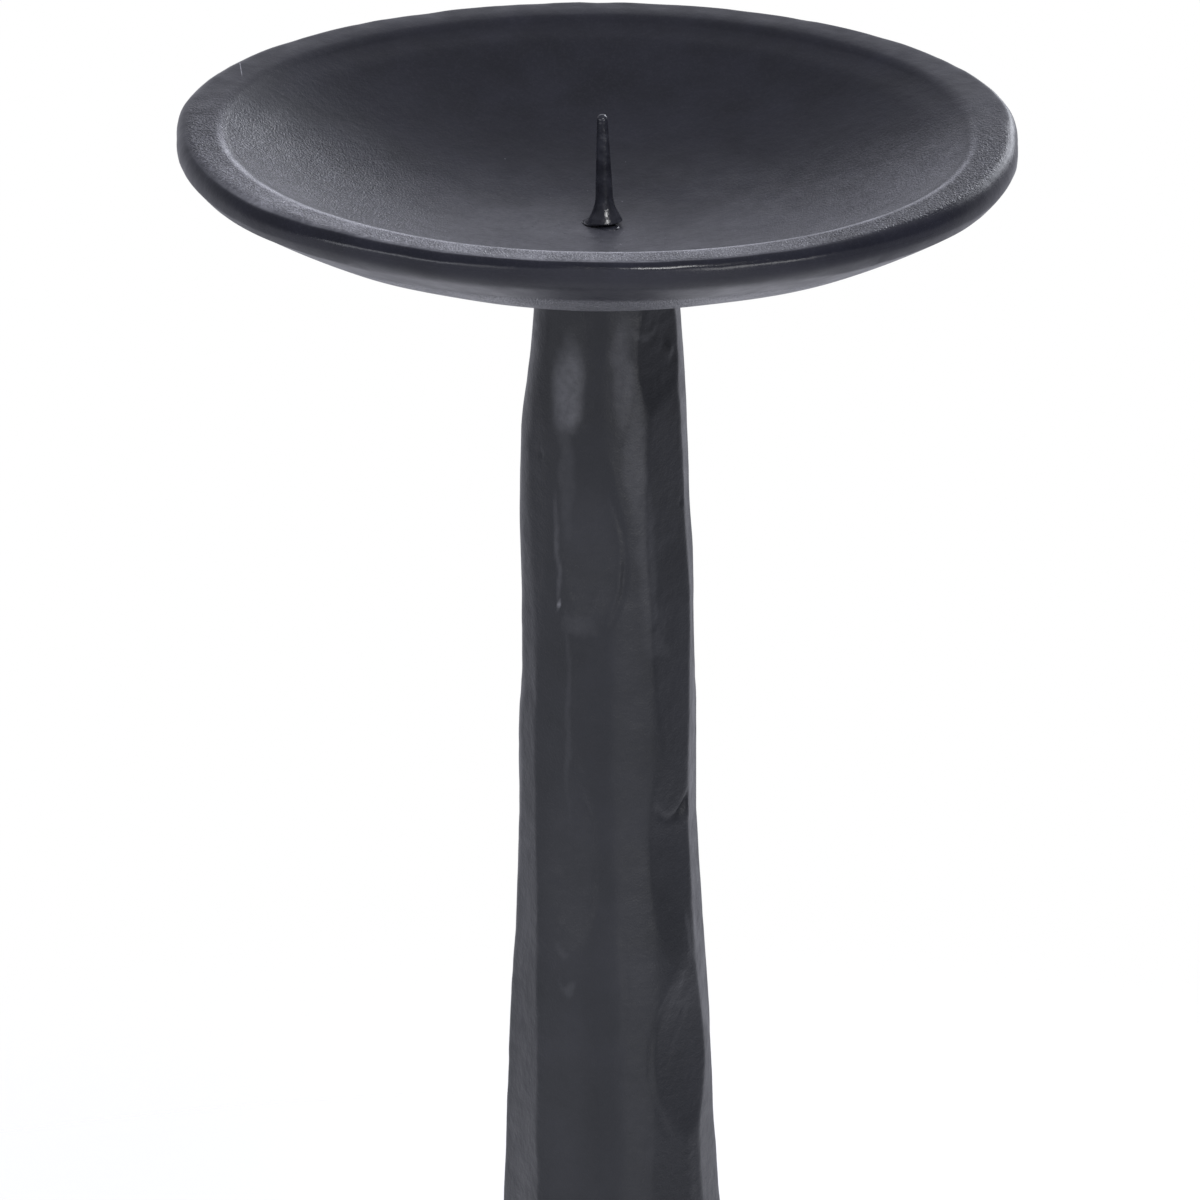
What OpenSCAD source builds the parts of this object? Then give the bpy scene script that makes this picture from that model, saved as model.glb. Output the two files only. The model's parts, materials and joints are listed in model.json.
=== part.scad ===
// Pillar candle holder: a round pan with a short spike, on a hammered, hollow, tapering stem
// and a round cast foot. A threaded rod inside the stem pulls the pieces together.
// +Z is up, the front faces -Y, and the origin is on the table under the stem's axis.

/* [Overall] */
// Height of the pan's rim above the table
rim_height = 305; // [260:1:340]

/* [Pan] */
// Diameter of the pan at its widest
pan_d = 127; // [115:1:140]
// Height of the outer wall under the rim
pan_wall_h = 4.8; // [4:0.1:6]
// How far the outer wall leans in at its lower edge
pan_wall_lean = 1.55; // [0.8:0.05:2]
// Width of the rim, from the dish to the widest point
pan_lip_w = 6.5; // [5.5:0.1:8]
// Radius of the rim's outer edge
pan_edge_round = 1.3; // [0.8:0.1:1.8]
// Radius of the rim's inner shoulder
pan_shoulder_round = 5; // [1.5:0.1:6]
// Depth of the dish at its centre
dish_depth = 15.2; // [11:0.1:18]
// Thickness of the pan at its centre
pan_floor_t = 7.1; // [5.5:0.1:9]

/* [Spike] */
// Height of the spike above the dish
spike_h = 17.1; // [12:0.1:25]
// Diameter of the flange at its foot
spike_flange_d = 6.2; // [5.6:0.1:8]
// Thickness of the flange at its edge
spike_flange_t = 0.5; // [0.3:0.1:1]
// Diameter of the spike just above its flare
spike_waist_d = 2.8; // [2.2:0.1:3.4]
// Diameter of the spike's rounded tip
spike_tip_d = 1.6; // [1:0.1:2]
// Radius of the hollow flare between spike and flange
spike_flare_r = 6; // [4:0.1:8]
// Diameter of the threaded shank under the flange
shank_d = 4; // [3:0.1:4.4]
// Length of the shank that screws into the plug
shank_grip = 8; // [5:0.1:9]

/* [Stem] */
// Diameter of the stem under the pan, before hammering
stem_top_d = 22.4; // [21:0.1:27]
// Diameter of the stem at its foot, before hammering
stem_foot_d = 46; // [40:0.1:52]
// Thickness of the stem's wall
stem_wall = 5; // [4:0.1:6]
// Thickness of the web that the plug rests on
stem_web_t = 6; // [4:0.1:9]
// Deepest hammer mark
hammer_cut = 1.2; // [0.5:0.05:1.5]
// Length of the longest hammer mark
hammer_mark_h = 34; // [24:1:44]

/* [Plug and rod] */
// Diameter of the plug in the top of the stem
plug_d = 14; // [12:0.1:14.5]
// Height of the plug
plug_h = 18; // [16:0.1:22]
// Diameter of the tie rod
rod_d = 6; // [5:0.1:8]
// Length of the rod that screws into the plug
rod_grip = 7; // [5:0.1:7.5]
// Length of the rod that shows below the nut
rod_show = 1.6; // [0.5:0.1:2]

/* [Foot] */
// Diameter of the foot at its widest
base_d = 120; // [110:1:132]
// Height of the foot's outer wall
base_wall_h = 4.8; // [4:0.1:6]
// How far the outer wall leans in at its upper edge
base_wall_lean = 1.4; // [0.8:0.05:2]
// Radius of the foot's lower edge
base_edge_round = 1.3; // [0.8:0.1:1.8]
// Height of the foot at its centre, without its register
base_h = 19; // [17:0.1:23]
// Width of the flat ring that carries the pads
base_ring_w = 14; // [12.5:0.1:18]
// Depth of the hollow under the foot
hollow_depth = 12; // [11.5:0.1:12.5]
// Diameter of the boss that the nut pulls on
base_boss_d = 22; // [21:0.1:26]
// Height of that boss in the hollow
base_boss_h = 1.2; // [0.8:0.1:1.4]
// Height of the register that centres the stem
register_h = 3; // [2:0.1:5]

/* [Fasteners] */
// Outer diameter of the flat washer
washer_d = 18; // [15:0.1:20]
// Thickness of the flat washer
washer_t = 1.5; // [1:0.1:1.6]
// Outer diameter of the spring washer
spring_washer_d = 11.8; // [11:0.1:13]
// Thickness of the spring washer
spring_washer_t = 1.5; // [1:0.1:1.6]
// Width of the cut through the spring washer
spring_washer_slot = 1; // [0.6:0.1:2]
// Width of the nut across its flats
nut_af = 10; // [9.5:0.1:13]
// Height of the nut
nut_h = 5; // [4:0.1:5]

/* [Pads] */
// Number of felt pads
pad_count = 4; // [3:1:6]
// Diameter of a felt pad
pad_d = 10; // [8:0.1:11]
// Thickness of a felt pad
pad_t = 2; // [1.6:0.1:3]
// Depth of the recess that holds a pad
pad_recess = 0.8; // [0.4:0.1:1.2]

/* [Clearances] */
// Radial clearance of the shank and the rod in plain holes
hole_gap = 0.2; // [0.1:0.05:0.3]
// Radial clearance in threads, plug pocket and pad recesses
fit_gap = 0.05; // [0.03:0.01:0.08]
// Radial clearance between the register and the stem
register_gap = 0.3; // [0.1:0.05:0.4]

/* [Hidden] */
$fn = 96;

// Overrun of cuts past the faces that they open
overrun = 1;
// Flat margin round a piece that seats on a curved casting
seat_margin = 0.6;
// Width of the bevel at the ends of rod, shank and plug
thread_bevel = 0.5;
// How far the arc of the rim's shoulder bites into the dish, so that the two cross cleanly
shoulder_bite = 0.02;

iron_black = [0.16, 0.16, 0.17];
spike_black = [0.1, 0.1, 0.11];
steel_zinc = [0.62, 0.63, 0.65];
felt_black = [0.12, 0.12, 0.12];

// Radius of the sphere whose cap has this rim radius and this height
function cap_sphere_r(rim_r, cap_h) = (pow(rim_r, 2) + pow(cap_h, 2)) / (2 * cap_h);
// Height of a sphere's surface over its lowest point, at radius r
function cap_rise(sphere_r, r) = sphere_r - sqrt(pow(sphere_r, 2) - pow(r, 2));
function mix(a, b, share) = a + (b - a) * share;

// Pan: its height is counted from the rim, downwards
pan_r = pan_d / 2;
pan_depth = dish_depth + pan_floor_t;
dish_r = pan_r - pan_lip_w;
dish_sphere_r = cap_sphere_r(dish_r, dish_depth);
dish_centre_z = dish_sphere_r - dish_depth;
pan_under_r = pan_r - pan_wall_lean;
under_sphere_r = cap_sphere_r(pan_under_r, pan_depth - pan_wall_h);
under_centre_z = under_sphere_r - pan_depth;
shoulder_reach = dish_sphere_r + pan_shoulder_round - shoulder_bite;
shoulder_r = sqrt(pow(shoulder_reach, 2) - pow(dish_centre_z + pan_shoulder_round, 2));
shoulder_share = (dish_sphere_r - shoulder_bite / 2) / shoulder_reach;
shoulder_touch = [
    shoulder_r * shoulder_share,
    dish_centre_z - (dish_centre_z + pan_shoulder_round) * shoulder_share,
];
stem_top_r = stem_top_d / 2;
pan_seat_r = stem_top_r + seat_margin;
pan_seat_rise = cap_rise(under_sphere_r, pan_seat_r);
spike_seat_r = spike_flange_d / 2 + seat_margin;

// Foot: its height is counted from the underside of its ring
pad_proud = pad_t - pad_recess;
base_r = base_d / 2;
base_top_r = base_r - base_wall_lean;
dome_sphere_r = cap_sphere_r(base_top_r, base_h - base_wall_h);
hollow_r = base_r - base_ring_w;
hollow_sphere_r = cap_sphere_r(hollow_r, hollow_depth);
stem_foot_r = stem_foot_d / 2;
base_seat_r = stem_foot_r + seat_margin;
base_seat_h = base_h - cap_rise(dome_sphere_r, base_seat_r);
boss_face_h = hollow_depth - base_boss_h;
pad_ring_r = base_r - base_ring_w / 2;

// Levels above the table
base_z = pad_proud;
stem_foot_z = base_z + base_seat_h;
pan_seat_z = rim_height - pan_depth + pan_seat_rise;
dish_z = rim_height - dish_depth;
stem_len = pan_seat_z - stem_foot_z;
plug_z = pan_seat_z - plug_h;
web_z = plug_z - stem_web_t;
boss_face_z = base_z + boss_face_h;
washer_z = boss_face_z - washer_t;
spring_washer_z = washer_z - spring_washer_t;
nut_z = spring_washer_z - nut_h;
rod_foot_z = nut_z - rod_show;
rod_top_z = plug_z + rod_grip;
shank_foot_z = pan_seat_z - shank_grip;

rod_r = rod_d / 2;
shank_r = shank_d / 2;
rod_hole_r = rod_r + hole_gap;
shank_hole_r = shank_r + hole_gap;

// Stem before hammering: depth under the pan and radius, as shares of length and of widening
stem_profile_shares = [
    [0, 0], [0.053, 0.08], [0.124, 0.155], [0.27, 0.225], [0.34, 0.225],
    [0.44, 0.35], [0.53, 0.435], [1, 1],
];
function stem_blank_r(depth_share) =
    mix(stem_top_r, stem_foot_r, lookup(depth_share, stem_profile_shares));
function stem_share(z) = (pan_seat_z - z) / stem_len;

// A hammer mark is a flat across the stem and crowned along it: its place round the stem from
// the front towards +X as a share of a turn, its depth under the pan as a share of the length,
// and its cut and its length as shares of the hammer's cut and of the longest blow. The long
// flats are drawn out by many blows.
long_flat_shares = [
    [-0.180, 0.27, 0.20, 2.2], [-0.180, 0.80, 1.50, 8.1], [-0.106, 0.41, 0.52, 8.8],
    [0.044, 0.49, 0.28, 10.0], [0.222, 0.34, 0.58, 6.0], [0.150, 0.85, 0.70, 6.0],
    [0.305, 0.50, 0.60, 10.0], [0.392, 0.50, 0.70, 10.0], [0.490, 0.50, 0.65, 10.0],
    [-0.405, 0.50, 0.70, 10.0], [-0.300, 0.50, 0.65, 10.0],
];
front_mark_shares = [
    [-0.036, 0.148, 0.96, 0.91], [-0.139, 0.143, 0.38, 1.47], [-0.033, 0.248, 0.21, 1.47],
    [-0.001, 0.508, 0.27, 2.65], [-0.084, 0.341, 0.98, 1.24], [-0.072, 0.526, 0.92, 2.20],
    [-0.078, 0.046, 0.30, 0.50], [-0.022, 0.034, 0.12, 0.70], [0.031, 0.049, 0.30, 0.70],
    [0.144, 0.173, 0.96, 2.10], [0.133, 0.049, 0.83, 0.56], [0.122, 0.350, 0.62, 0.94],
    [0.139, 0.442, 1.13, 0.85], [0.206, 0.556, 0.75, 1.40], [0.100, 0.564, 0.50, 1.30],
];
// The rest is hammered in staggered rows, each blow a little off its place
mark_rows = 7;
mark_columns = 7;
front_shares = [-0.26, 0.25];
front_depth_share = 0.6;
mark_drift_shares = [0.015, 0.012];
mark_cut_shares = [0.85, 0.15];
mark_length_shares = [0.9, 0.1];
// Steps of angle that keep one blow's drift unlike the next one's
drift_step = [137, 61];
function blow(row, column) =
    let (drift = drift_step[0] * column + drift_step[1] * row)
    [
        (column + (row % 2) / 2) / mark_columns - 0.5 + mark_drift_shares[0] * sin(drift),
        (row + 0.5) / mark_rows + mark_drift_shares[1] * cos(2 * drift),
        mark_cut_shares[0] + mark_cut_shares[1] * sin(3 * drift),
        mark_length_shares[0] + mark_length_shares[1] * cos(3 * drift),
    ];
function in_front(mark) = mark[0] > front_shares[0] && mark[0] < front_shares[1]
    && mark[1] < front_depth_share;
mark_shares = concat(long_flat_shares, front_mark_shares, [
    for (row = [0:mark_rows - 1], column = [0:mark_columns - 1])
        let (mark = blow(row, column))
        if (!in_front(mark)) mark
]);
mark_reach = 60;
// Angle from the front of a mark to that of a place on the stem, from -180 to 180
function turn_between(mark, turn) = let (d = 360 * (turn - mark[0])) d - 360 * round(d / 360);
function mark_crown(mark, depth_share) =
    1 - pow(2 * (depth_share - mark[1]) * stem_len / (hammer_mark_h * mark[3]), 2);
function stem_skin_r(turn, depth_share) =
    let (blank_r = stem_blank_r(depth_share))
    min(concat([blank_r], [
        for (mark = mark_shares)
            let (swing = turn_between(mark, turn))
            if (abs(swing) < mark_reach)
                (blank_r - hammer_cut * mark[2] * mark_crown(mark, depth_share)) / cos(swing)
    ]));
stem_sides = 48;
stem_rings = 54;

module stem_skin() {
    skin_points = [
        for (ring = [0:stem_rings], side = [0:stem_sides - 1])
            let (
                turn = side / stem_sides,
                depth_share = 1 - ring / stem_rings,
                r = stem_skin_r(turn, depth_share)
            )
            [r * sin(360 * turn), -r * cos(360 * turn), pan_seat_z - depth_share * stem_len]
    ];
    skin_faces = [
        for (ring = [0:stem_rings - 1], side = [0:stem_sides - 1])
            let (
                a = ring * stem_sides + side,
                b = ring * stem_sides + (side + 1) % stem_sides
            )
            each [[a, a + stem_sides, b + stem_sides], [a, b + stem_sides, b]]
    ];
    foot_face = [for (side = [0:stem_sides - 1]) side];
    top_face = [for (side = [stem_sides - 1:-1:0]) stem_rings * stem_sides + side];
    polyhedron(skin_points, concat(skin_faces, [foot_face, top_face]));
}

module ring_disc(outer_r, hole_r, h) {
    difference() {
        cylinder(r = outer_r, h = h);
        translate([0, 0, -overrun]) cylinder(r = hole_r, h = h + 2 * overrun);
    }
}

// A rod that stands on z = 0, with a bevel at both ends
module bevelled_rod(r, h) {
    rotate_extrude()
        polygon([
            [0, 0],
            [r - thread_bevel, 0],
            [r, thread_bevel],
            [r, h - thread_bevel],
            [r - thread_bevel, h],
            [0, h],
        ]);
}

module spike() {
    waist_r = spike_waist_d / 2;
    tip_r = spike_tip_d / 2;
    flange_r = spike_flange_d / 2;
    flare_x = waist_r + spike_flare_r;
    flare_h = spike_flange_t + sqrt(pow(spike_flare_r, 2) - pow(flare_x - flange_r, 2));
    shank_foot_h = shank_foot_z - dish_z;
    color(spike_black) translate([0, 0, dish_z]) {
        rotate_extrude() difference() {
            polygon([
                [0, shank_foot_h],
                [shank_r - thread_bevel, shank_foot_h],
                [shank_r, shank_foot_h + thread_bevel],
                [shank_r, 0],
                [flange_r, 0],
                [flange_r, flare_h],
                [waist_r, flare_h],
                [tip_r, spike_h - tip_r],
                [0, spike_h - tip_r],
            ]);
            translate([flare_x, flare_h]) circle(spike_flare_r);
        }
        translate([0, 0, spike_h - tip_r]) sphere(tip_r);
    }
}

module pan_profile() {
    difference() {
        intersection() {
            translate([0, under_centre_z]) circle(under_sphere_r);
            union() {
                polygon([
                    [0, -pan_depth + pan_seat_rise],
                    [pan_under_r, -pan_depth + pan_seat_rise],
                    [pan_under_r, -pan_wall_h],
                    [pan_r, -pan_edge_round],
                    [pan_r - pan_edge_round, -pan_edge_round],
                    [pan_r - pan_edge_round, 0],
                    [0, 0],
                ]);
                translate([pan_r - pan_edge_round, -pan_edge_round]) circle(pan_edge_round);
            }
        }
        translate([0, dish_centre_z]) circle(dish_sphere_r);
        difference() {
            polygon([
                shoulder_touch,
                [shoulder_r, -pan_shoulder_round],
                [shoulder_r, overrun],
                [shoulder_touch[0], overrun],
            ]);
            translate([shoulder_r, -pan_shoulder_round]) circle(pan_shoulder_round);
        }
    }
}

module pan() {
    color(iron_black) translate([0, 0, rim_height]) difference() {
        rotate_extrude() pan_profile();
        translate([0, 0, -dish_depth]) cylinder(r = spike_seat_r, h = dish_depth);
        translate([0, 0, -pan_depth - overrun])
            cylinder(r = shank_hole_r, h = pan_depth + 2 * overrun);
    }
}

module stem() {
    core_r = stem_blank_r(stem_share(web_z)) - stem_wall;
    knee_share = stem_profile_shares[4][0];
    color(iron_black) difference() {
        stem_skin();
        translate([0, 0, plug_z]) cylinder(r = plug_d / 2 + fit_gap, h = plug_h + overrun);
        translate([0, 0, web_z - overrun]) cylinder(r = rod_hole_r, h = stem_web_t + 2 * overrun);
        rotate_extrude() polygon([
            [0, web_z],
            [core_r, web_z],
            [stem_blank_r(knee_share) - stem_wall, pan_seat_z - knee_share * stem_len],
            [stem_foot_r - stem_wall, stem_foot_z],
            [stem_foot_r - stem_wall, stem_foot_z - overrun],
            [0, stem_foot_z - overrun],
        ]);
    }
}

module top_plug() {
    color(steel_zinc) translate([0, 0, plug_z]) difference() {
        bevelled_rod(plug_d / 2, plug_h);
        translate([0, 0, -overrun]) cylinder(r = rod_r + fit_gap, h = rod_grip + 2 * overrun);
        translate([0, 0, plug_h - shank_grip - overrun])
            cylinder(r = shank_r + fit_gap, h = shank_grip + 2 * overrun);
    }
}

module tie_rod() {
    color(steel_zinc) translate([0, 0, rod_foot_z])
        bevelled_rod(rod_r, rod_top_z - rod_foot_z);
}

module base_profile() {
    difference() {
        intersection() {
            translate([0, base_h - dome_sphere_r]) circle(dome_sphere_r);
            union() {
                polygon([
                    [0, 0],
                    [base_r - base_edge_round, 0],
                    [base_r - base_edge_round, base_edge_round],
                    [base_r, base_edge_round],
                    [base_top_r, base_wall_h],
                    [base_top_r, base_seat_h],
                    [0, base_seat_h],
                ]);
                translate([base_r - base_edge_round, base_edge_round]) circle(base_edge_round);
            }
        }
        difference() {
            translate([0, hollow_depth - hollow_sphere_r]) circle(hollow_sphere_r);
            translate([0, boss_face_h]) square([base_boss_d / 2, base_h]);
        }
    }
}

module base() {
    register_r = stem_foot_r - stem_wall - register_gap;
    color(iron_black) translate([0, 0, base_z]) difference() {
        union() {
            rotate_extrude() base_profile();
            translate([0, 0, base_seat_h - overrun])
                cylinder(r = register_r, h = register_h + overrun);
        }
        translate([0, 0, boss_face_h - overrun])
            cylinder(r = rod_hole_r, h = base_h + register_h + overrun);
        for (pad = [0:pad_count - 1]) rotate([0, 0, (pad + 0.5) * 360 / pad_count])
            translate([pad_ring_r, 0, -overrun])
                cylinder(r = pad_d / 2 + fit_gap, h = pad_recess + overrun);
    }
}

module base_washer() {
    color(steel_zinc) translate([0, 0, washer_z]) ring_disc(washer_d / 2, rod_hole_r, washer_t);
}

module lock_washer() {
    color(steel_zinc) translate([0, 0, spring_washer_z]) difference() {
        ring_disc(spring_washer_d / 2, rod_hole_r, spring_washer_t);
        translate([0, -spring_washer_slot / 2, -overrun])
            cube([spring_washer_d, spring_washer_slot, spring_washer_t + 2 * overrun]);
    }
}

module base_nut() {
    color(steel_zinc) translate([0, 0, nut_z]) difference() {
        cylinder(r = nut_af / 2 / cos(30), h = nut_h, $fn = 6);
        translate([0, 0, -overrun]) cylinder(r = rod_r + fit_gap, h = nut_h + 2 * overrun);
    }
}

module foot_pads() {
    color(felt_black) for (pad = [0:pad_count - 1])
        rotate([0, 0, (pad + 0.5) * 360 / pad_count])
            translate([pad_ring_r, 0, 0]) cylinder(r = pad_d / 2, h = pad_t);
}

spike();
pan();
stem();
top_plug();
tie_rod();
base();
base_washer();
lock_washer();
base_nut();
foot_pads();
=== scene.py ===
import json
import math

import bmesh
import bpy
import numpy as np
from mathutils import Matrix, Vector


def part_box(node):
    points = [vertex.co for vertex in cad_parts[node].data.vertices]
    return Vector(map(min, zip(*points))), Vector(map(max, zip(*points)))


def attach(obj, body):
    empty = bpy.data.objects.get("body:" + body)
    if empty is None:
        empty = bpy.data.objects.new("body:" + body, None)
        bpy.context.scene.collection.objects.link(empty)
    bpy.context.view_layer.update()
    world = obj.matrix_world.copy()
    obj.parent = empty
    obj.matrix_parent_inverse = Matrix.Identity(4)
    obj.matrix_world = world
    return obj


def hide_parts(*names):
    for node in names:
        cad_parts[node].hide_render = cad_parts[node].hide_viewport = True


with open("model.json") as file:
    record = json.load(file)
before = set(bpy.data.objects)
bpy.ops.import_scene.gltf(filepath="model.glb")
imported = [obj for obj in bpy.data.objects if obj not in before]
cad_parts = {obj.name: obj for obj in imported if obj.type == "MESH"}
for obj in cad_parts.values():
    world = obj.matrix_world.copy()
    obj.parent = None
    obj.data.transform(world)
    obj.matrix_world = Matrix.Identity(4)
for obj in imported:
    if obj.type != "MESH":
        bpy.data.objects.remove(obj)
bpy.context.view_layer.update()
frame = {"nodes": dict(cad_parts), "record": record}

# A black pillar candle holder: a turned pan with a spike, a hammered stem and a round foot.
# Its lengths are in millimetres up to the meshes. The meshes, the lamps and the camera are in
# metres, in the frame of the model.

MM = 0.001
TAU = 2 * math.pi
# How many sides the pan and the foot have, which are seen from near
FINE_SIDES = 288


def low(node):
    """The lowest corner of a CAD node's box."""
    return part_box(node)[0] / MM


def high(node):
    """The highest corner of a CAD node's box."""
    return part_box(node)[1] / MM


# Levels and radii that the frame gives
PAN_RIM_Z = high("pan").z
PAN_SEAT_Z = low("pan").z
PAN_R = high("pan").x
STEM_FOOT_Z = low("stem").z
STEM_LENGTH = high("stem").z - STEM_FOOT_Z
STEM_FOOT_R = high("stem").x
BASE_Z = low("base").z
BASE_R = high("base").y
SPIKE_TIP_Z = high("spike").z
SPIKE_FOOT_Z = low("spike").z
SEATS = {mount["name"]: Vector(mount["pos_m"]) / MM for mount in frame["record"]["mounts"]}
DISH_Z = SEATS["candle_seat"].z

# The pan's own sizes. Its lip has an outer wall and a flat land, which ends in a rounded shoulder
WALL_H = 4.8
WALL_LEAN = 1.55
WALL_CURVE = 3
LIP_W = 6.8
EDGE_ROUND = 1.0
SHOULDER_ROUND = 5.0
LAND_SLOPE = math.radians(-2.5)
LAND_INNER_R = PAN_R - LIP_W
LAND_OUTER_R = PAN_R - EDGE_ROUND
RIM_TILT = math.radians(0.52)
DISH_DEPTH = PAN_RIM_Z - DISH_Z
FLOOR_THICKNESS = 7.1
PAN_DEPTH = DISH_DEPTH + FLOOR_THICKNESS
SEAT_R = 12.2
SHANK_HOLE_R = 2.2
# How far the middle of the dish lies under its sphere, the left and right of the pan's underside
# sag, and the shoulder droops at the back
DISH_SETTLE = 0.4
UNDERSIDE_SAG = 0.5
SHOULDER_DROOP = 0.4
# Radius of the rim's outer edge, by place round it from the front towards +X
EDGE_ROUNDS = [
    (-0.5, 1.0), (-0.3, 1.5), (-0.2, 3.0), (-0.15, 3.1), (-0.11, 2.0), (-0.08, 1.5), (0.0, 1.2),
    (0.1, 1.6), (0.19, 2.9), (0.3, 1.2), (0.5, 1.0),
]
# How far the rim is out of round, by place round it in the same way
OUT_OF_ROUND = [
    (-0.5, -0.2), (-0.45, -0.5), (-0.38, 0.1), (-0.34, 0.5), (-0.28, 0.6), (-0.25, -0.1),
    (-0.2, -0.5), (-0.15, -0.5), (-0.1, -0.5), (-0.06, -0.3), (0.0, -0.6), (0.06, 0.0),
    (0.1, 0.4), (0.16, 0.35), (0.2, 0.1), (0.25, 0.0), (0.28, 0.6), (0.34, 1.0), (0.38, 0.9),
    (0.45, 0.3), (0.5, -0.2),
]


def cap_sphere_r(rim_r, cap_h):
    """Radius of the sphere of which a cap has this rim and this height."""
    return (rim_r**2 + cap_h**2) / (2 * cap_h)


def arc(centre, radius, start, end, steps):
    """Points along an arc, with angles in degrees from the outward direction upwards."""
    angles = [math.radians(start + (end - start) * i / steps) for i in range(steps + 1)]
    return [(centre[0] + radius * math.cos(a), centre[1] + radius * math.sin(a)) for a in angles]


def segment(start, end, steps):
    """Points from start towards end, without the end itself."""
    return [
        (start[0] + (end[0] - start[0]) * i / steps, start[1] + (end[1] - start[1]) * i / steps)
        for i in range(steps)
    ]


def bowl_arc(centre_z, radius, r_from, r_to, steps, side=-1):
    """Points on a sphere's lower (side -1) or upper (side 1) half between two radii."""
    points = []
    for i in range(steps + 1):
        r = r_from + (r_to - r_from) * i / steps
        points.append((r, centre_z + side * math.sqrt(radius**2 - r**2)))
    return points


def turned(name, outline, steps, closed=True):
    """A solid turned about the Z axis from an outline of (radius, height) in millimetres.

    An eighth of it is spun, and that is doubled three times, which is much quicker than one spin.
    """
    bm = bmesh.new()
    verts = [bm.verts.new((r * MM, 0, z * MM)) for r, z in outline]
    pairs = list(zip(verts, verts[1:]))
    if closed:
        pairs.append((verts[-1], verts[0]))
    edges = [bm.edges.new(pair) for pair in pairs]
    centre = (0, 0, 0)
    bmesh.ops.spin(
        bm, geom=verts + edges, cent=centre, axis=(0, 0, 1), angle=TAU / 8, steps=steps // 8
    )
    for turn in (TAU / 8, TAU / 4, TAU / 2):
        copy = bmesh.ops.duplicate(bm, geom=bm.verts[:] + bm.edges[:] + bm.faces[:])["geom"]
        moved = [item for item in copy if isinstance(item, bmesh.types.BMVert)]
        bmesh.ops.rotate(bm, verts=moved, cent=centre, matrix=Matrix.Rotation(turn, 3, "Z"))
    bmesh.ops.remove_doubles(bm, verts=bm.verts, dist=0.0005 * MM)
    bmesh.ops.recalc_face_normals(bm, faces=bm.faces)
    return finished(name, bm)


def finished(name, bm, smooth=True):
    mesh = bpy.data.meshes.new(name)
    bm.to_mesh(mesh)
    bm.free()
    if smooth:
        mesh.shade_smooth()
    piece = bpy.data.objects.new(name, mesh)
    bpy.context.scene.collection.objects.link(piece)
    return piece


def join_mesh(piece, added):
    """Takes the added piece's mesh into the first one's."""
    bm = bmesh.new()
    bm.from_mesh(piece.data)
    bm.from_mesh(added.data)
    bm.to_mesh(piece.data)
    bm.free()
    bpy.data.objects.remove(added)


def coords(piece):
    """The piece's vertices as an array in millimetres."""
    co = np.empty(len(piece.data.vertices) * 3)
    piece.data.vertices.foreach_get("co", co)
    return co.reshape(-1, 3) / MM


def set_coords(piece, co):
    piece.data.vertices.foreach_set("co", (co * MM).ravel())
    piece.data.update()


CORNERS = [(x, y, z) for x in (0, 1) for y in (0, 1) for z in (0, 1)]
HASH_FACTORS = (73856093, 19349663, 83492791)


def lumps(co, size, seed):
    """Smooth noise from -1 to 1 whose lumps are about this many millimetres wide."""
    places = co / size
    cell = np.floor(places).astype(np.int64)
    share = places - cell
    share = share * share * (3 - 2 * share)
    total = np.zeros(len(co))
    for corner in CORNERS:
        key = np.full(len(co), seed * 2654435761, np.int64)
        weight = np.ones(len(co))
        for axis in range(3):
            key ^= (cell[:, axis] + corner[axis]) * HASH_FACTORS[axis]
            weight *= share[:, axis] if corner[axis] else 1 - share[:, axis]
        key = (key ^ (key >> 13)) * 1274126177 & 0xFFFFFFFF
        key = (key ^ (key >> 16)) * 668265263 & 0xFFFFFFFF
        total += weight * (key / 2147483648 - 1)
    return total


def paint_wear_and_light(piece, rub_and_painted_light=0.0, polish=0.0, grit=1.0):
    """Marks at each vertex, from 0 to 1, how much lighter the coat is from rubbing and from painted
    light, how polished it is, and how gritty it is.
    """
    layer = piece.data.attributes.new("wear_and_light", "FLOAT_VECTOR", "POINT")
    values = np.zeros((len(piece.data.vertices), 3))
    for column, amount in enumerate((rub_and_painted_light, polish, grit)):
        values[:, column] = np.clip(amount, 0, 1)
    layer.data.foreach_set("vector", values.ravel())


def smoothstep(low_edge, high_edge, value):
    t = np.clip((value - low_edge) / (high_edge - low_edge), 0, 1)
    return t * t * (3 - 2 * t)


def dress(piece, material, slot, *nodes):
    """Gives a finished piece its material, puts it under the root body and hides the CAD nodes that
    it stands for. The slot is not used.
    """
    piece.data.materials.append(material)
    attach(piece, "root")
    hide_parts(*nodes)


# Materials


def new_material(name):
    material = bpy.data.materials.new(name)
    material.use_nodes = True
    tree = material.node_tree
    tree.nodes.clear()
    output = tree.nodes.new("ShaderNodeOutputMaterial")
    shader = tree.nodes.new("ShaderNodeBsdfPrincipled")
    tree.links.new(shader.outputs["BSDF"], output.inputs["Surface"])
    return material, tree, shader


def place(tree):
    return tree.nodes.new("ShaderNodeTexCoord").outputs["Object"]


def stretched(tree, scale):
    mapping = tree.nodes.new("ShaderNodeMapping")
    mapping.inputs["Scale"].default_value = scale
    tree.links.new(place(tree), mapping.inputs["Vector"])
    return mapping.outputs["Vector"]


def noise_of(tree, size_mm, detail=2.0, roughness=0.5, vector=None):
    """A noise whose features are about this many millimetres wide."""
    node = tree.nodes.new("ShaderNodeTexNoise")
    node.inputs["Scale"].default_value = 1 / (size_mm * MM)
    node.inputs["Detail"].default_value = detail
    node.inputs["Roughness"].default_value = roughness
    tree.links.new(vector or place(tree), node.inputs["Vector"])
    return node.outputs["Fac"]


def ramp(tree, value, low_in, high_in, low_out, high_out):
    node = tree.nodes.new("ShaderNodeMapRange")
    node.inputs["From Min"].default_value = low_in
    node.inputs["From Max"].default_value = high_in
    node.inputs["To Min"].default_value = low_out
    node.inputs["To Max"].default_value = high_out
    tree.links.new(value, node.inputs["Value"])
    return node.outputs["Result"]


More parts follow.
